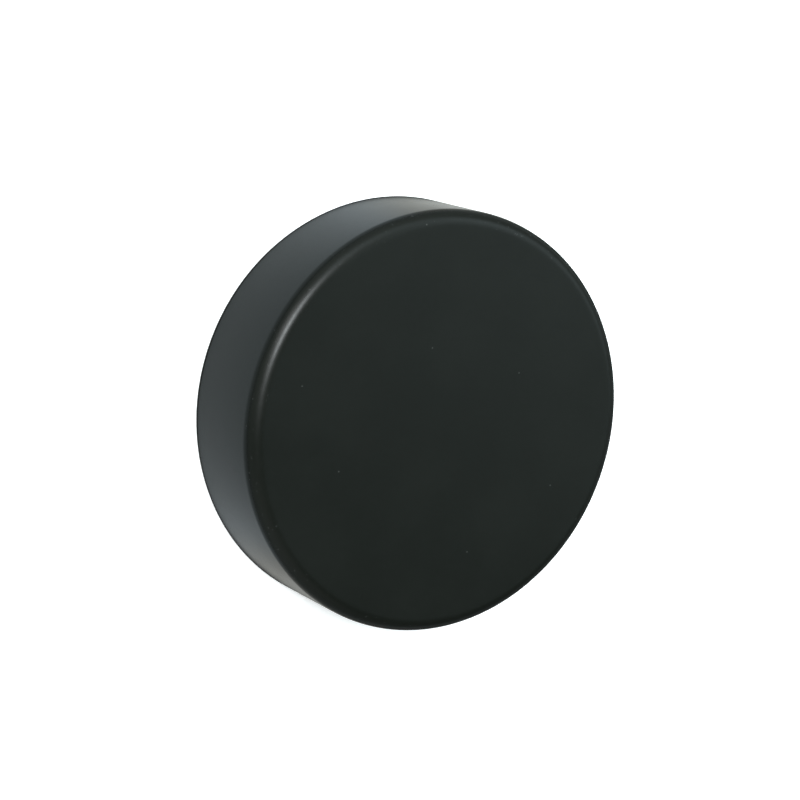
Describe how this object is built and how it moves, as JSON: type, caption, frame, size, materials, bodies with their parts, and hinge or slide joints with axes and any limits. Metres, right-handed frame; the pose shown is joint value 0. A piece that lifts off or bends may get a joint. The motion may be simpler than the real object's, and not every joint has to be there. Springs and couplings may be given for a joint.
{
  "type": "dealer button",
  "caption": "Thick plain round dealer button: moulded shell with a rounded face edge, screwed rear cover, steel weight between foam cushions, rubber foot.",
  "frame": {"origin": "centre of the resting face, on the table under the rubber foot", "axes": "+Z along the disc's axis, from the rubber foot to the plain face; X and Y are alike, and one cover screw is on +Y"},
  "size_m": [0.0762, 0.0762, 0.022],
  "materials": {
    "shell_plastic": "satin black, fine moulded grain",
    "cover_plastic": "matte black, fine moulded grain",
    "weight_steel": "punched mild steel, lightly oiled",
    "cushion_foam": "closed-cell foam sheet",
    "screw_steel": "zinc plated",
    "adhesive_film": "double-sided film",
    "foot_rubber": "matte rubber with grip rings"
  },
  "bodies": {
    "root": {"face_shell": "shell_plastic", "rear_cover": "cover_plastic", "weight_disc": "weight_steel", "face_cushion": "cushion_foam", "rear_cushion": "cushion_foam", "cover_screws": "screw_steel", "foot_adhesive": "adhesive_film", "rubber_foot": "foot_rubber"}
  },
  "joints": []
}
